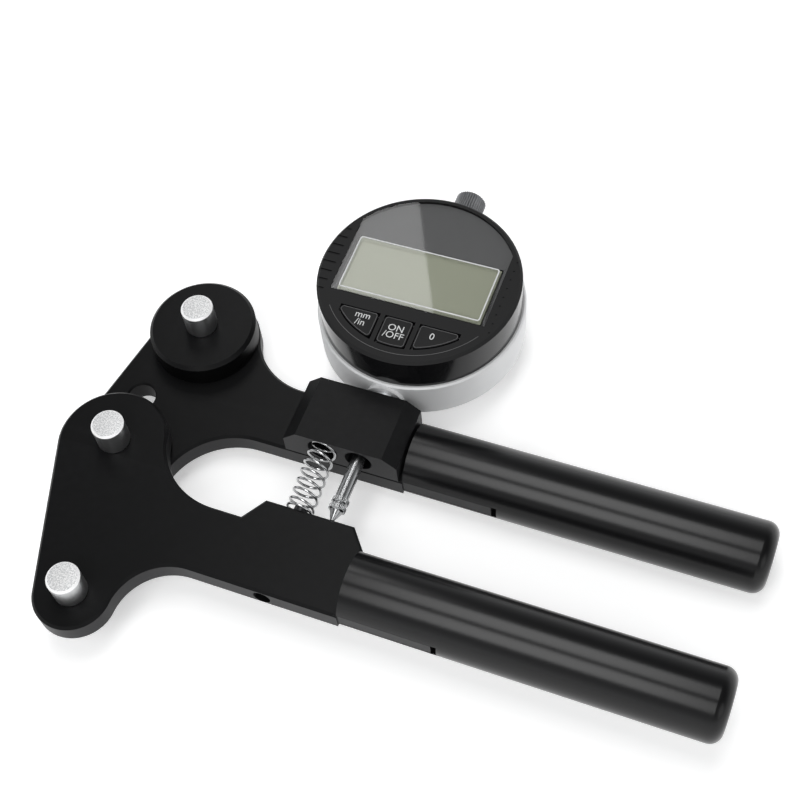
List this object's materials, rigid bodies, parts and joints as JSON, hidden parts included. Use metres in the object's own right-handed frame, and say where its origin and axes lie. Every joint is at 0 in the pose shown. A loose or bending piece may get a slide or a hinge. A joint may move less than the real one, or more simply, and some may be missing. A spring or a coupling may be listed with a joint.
{
  "type": "spoke tension meter",
  "caption": "Hand-held spoke tension meter: two pivoted arms with posts that bend a wheel spoke, a spring between them, and a digital indicator clamped across.",
  "frame": {"origin": "on the pivot axis, where the pivot post leaves the front arm's top face", "axes": "+X along the handles, away from the pivot; +Y from the front arm to the indicator; +Z along the posts, out of the arms' top faces"},
  "size_m": [0.1989, 0.1712, 0.0356],
  "materials": {
    "black_anodised": "black anodised, satin",
    "handle_coat": "black anodised, smooth",
    "post_steel": "hardened and turned",
    "dark_screw": "black oxide",
    "plain_steel": "turned",
    "bush_brass": "turned",
    "washer_plastic": "plain",
    "bright_steel": "polished",
    "knob_steel": "knurled",
    "silver_case": "satin",
    "dark_plate": "fine grain",
    "black_gloss": "glossy",
    "clear_pane": "clear",
    "display_grey": "smooth",
    "inner_plastic": "plain",
    "board_green": "solder mask"
  },
  "bodies": {
    "rear_arm": {"rear_plate": "black_anodised", "clamp_block": "black_anodised", "block_screws": "dark_screw", "stem_clamp_screw": "dark_screw", "post_disc": "black_anodised", "rear_post": "post_steel", "rear_post_screw": "dark_screw", "rear_handle": "handle_coat", "rear_handle_screws": "dark_screw", "pivot_bush": "bush_brass", "pivot_washer": "washer_plastic", "arm_spring": "bright_steel", "dial_case": "silver_case", "dial_back": "dark_plate", "back_screws": "plain_steel", "battery_cap": "dark_plate", "coin_cell": "plain_steel", "dial_bezel": "black_gloss", "window_pane": "clear_pane", "display": "display_grey", "display_frame": "inner_plastic", "circuit_board": "board_green", "stem": "bright_steel", "rear_guide": "bright_steel"},
    "front_arm": {"front_plate": "black_anodised", "front_post": "post_steel", "front_post_screw": "dark_screw", "pivot_post": "post_steel", "pivot_bolt": "plain_steel", "front_handle": "handle_coat", "front_handle_screws": "dark_screw", "preload_screw": "dark_screw"},
    "spindle_set": {"spindle": "bright_steel", "contact_point": "bright_steel", "lifting_knob": "knob_steel", "scale_carrier": "plain_steel"},
    "unit_button_cap": {"unit_button": "black_gloss"},
    "power_button_cap": {"power_button": "black_gloss"},
    "zero_button_cap": {"zero_button": "black_gloss"}
  },
  "joints": [
    {"name": "arm_pivot", "type": "hinge", "parent": "rear_arm", "child": "front_arm", "pos_m": [0, 0, 0], "axis": [0, 0, 1], "range_deg": [0, 8.5], "stiffness_Nm_per_rad": 2.26, "springref_deg": -5.73, "deforming": ["arm_spring"]},
    {"name": "spindle_slide", "type": "slide", "parent": "rear_arm", "child": "spindle_set", "axis": [0, 1, 0], "range_m": [0, 0.0106]},
    {"name": "unit_button_press", "type": "slide", "parent": "rear_arm", "child": "unit_button_cap", "axis": [0, 0, -1], "range_m": [0, 0.0005], "stiffness_N_per_m": 600, "springref_m": -0.0002},
    {"name": "power_button_press", "type": "slide", "parent": "rear_arm", "child": "power_button_cap", "axis": [0, 0, -1], "range_m": [0, 0.0005], "stiffness_N_per_m": 600, "springref_m": -0.0002},
    {"name": "zero_button_press", "type": "slide", "parent": "rear_arm", "child": "zero_button_cap", "axis": [0, 0, -1], "range_m": [0, 0.0005], "stiffness_N_per_m": 600, "springref_m": -0.0002}
  ],
  "couplings": [
    {"joint": "spindle_slide", "follows": "arm_pivot", "m_per_rad": 0.0686}
  ]
}
